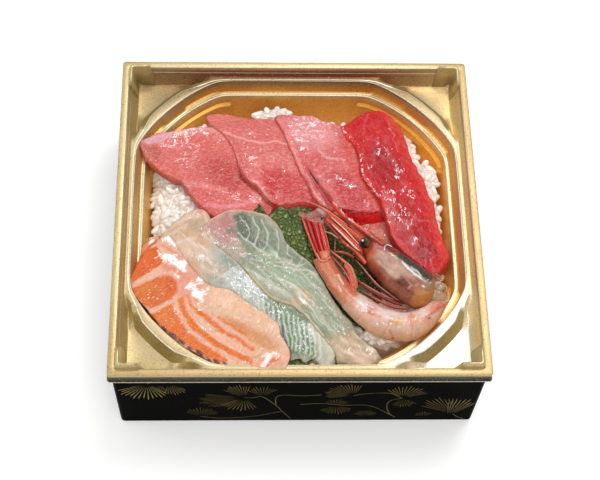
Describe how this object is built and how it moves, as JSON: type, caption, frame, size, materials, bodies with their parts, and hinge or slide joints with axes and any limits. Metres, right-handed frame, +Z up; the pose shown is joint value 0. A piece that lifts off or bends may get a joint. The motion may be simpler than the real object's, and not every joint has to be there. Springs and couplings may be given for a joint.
{
  "type": "seafood rice bowl",
  "caption": "Takeaway seafood rice bowl: raw tuna, white fish, salmon and a shrimp on rice and green leaves, in a gold tray in a square black box.",
  "frame": {"origin": "middle of the box's base, on the table", "axes": "+Z up, +Y away from the diner, +X to the diner's right"},
  "size_m": [0.1658, 0.1658, 0.058],
  "materials": {
    "black_board": "glossy black with dim gold pine branches",
    "gold_film": "satin gold metallised film, speckled rim",
    "rice": "cooked rice, moist and slightly translucent",
    "tuna_pink": "raw fatty tuna, moist, fine white marbling",
    "tuna_red": "raw red tuna, moist",
    "salmon": "raw salmon, moist, pale fat lines",
    "white_fish": "raw white fish, moist and translucent",
    "leaf": "fresh green leaf, netted veins",
    "shrimp_flesh": "raw peeled shrimp, moist and translucent",
    "shrimp_shell": "raw shrimp shell, glossy, red to grey",
    "shrimp_eye": "glossy black"
  },
  "bodies": {
    "root": {"box": "black_board", "tray": "gold_film", "rice": "rice", "tuna_pale": "tuna_pink", "tuna_1": "tuna_pink", "tuna_2": "tuna_pink", "tuna_3": "tuna_pink", "tuna_red": "tuna_red", "salmon_1": "salmon", "salmon_2": "salmon", "white_fish_1": "white_fish", "white_fish_2": "white_fish", "shiso_1": "leaf", "shiso_2": "leaf", "shiso_3": "leaf", "shiso_4": "leaf", "shrimp_body": "shrimp_flesh", "shrimp_tail": "shrimp_shell", "shrimp_legs": "shrimp_shell", "shrimp_head": "shrimp_shell", "shrimp_eye": "shrimp_eye"}
  },
  "joints": []
}
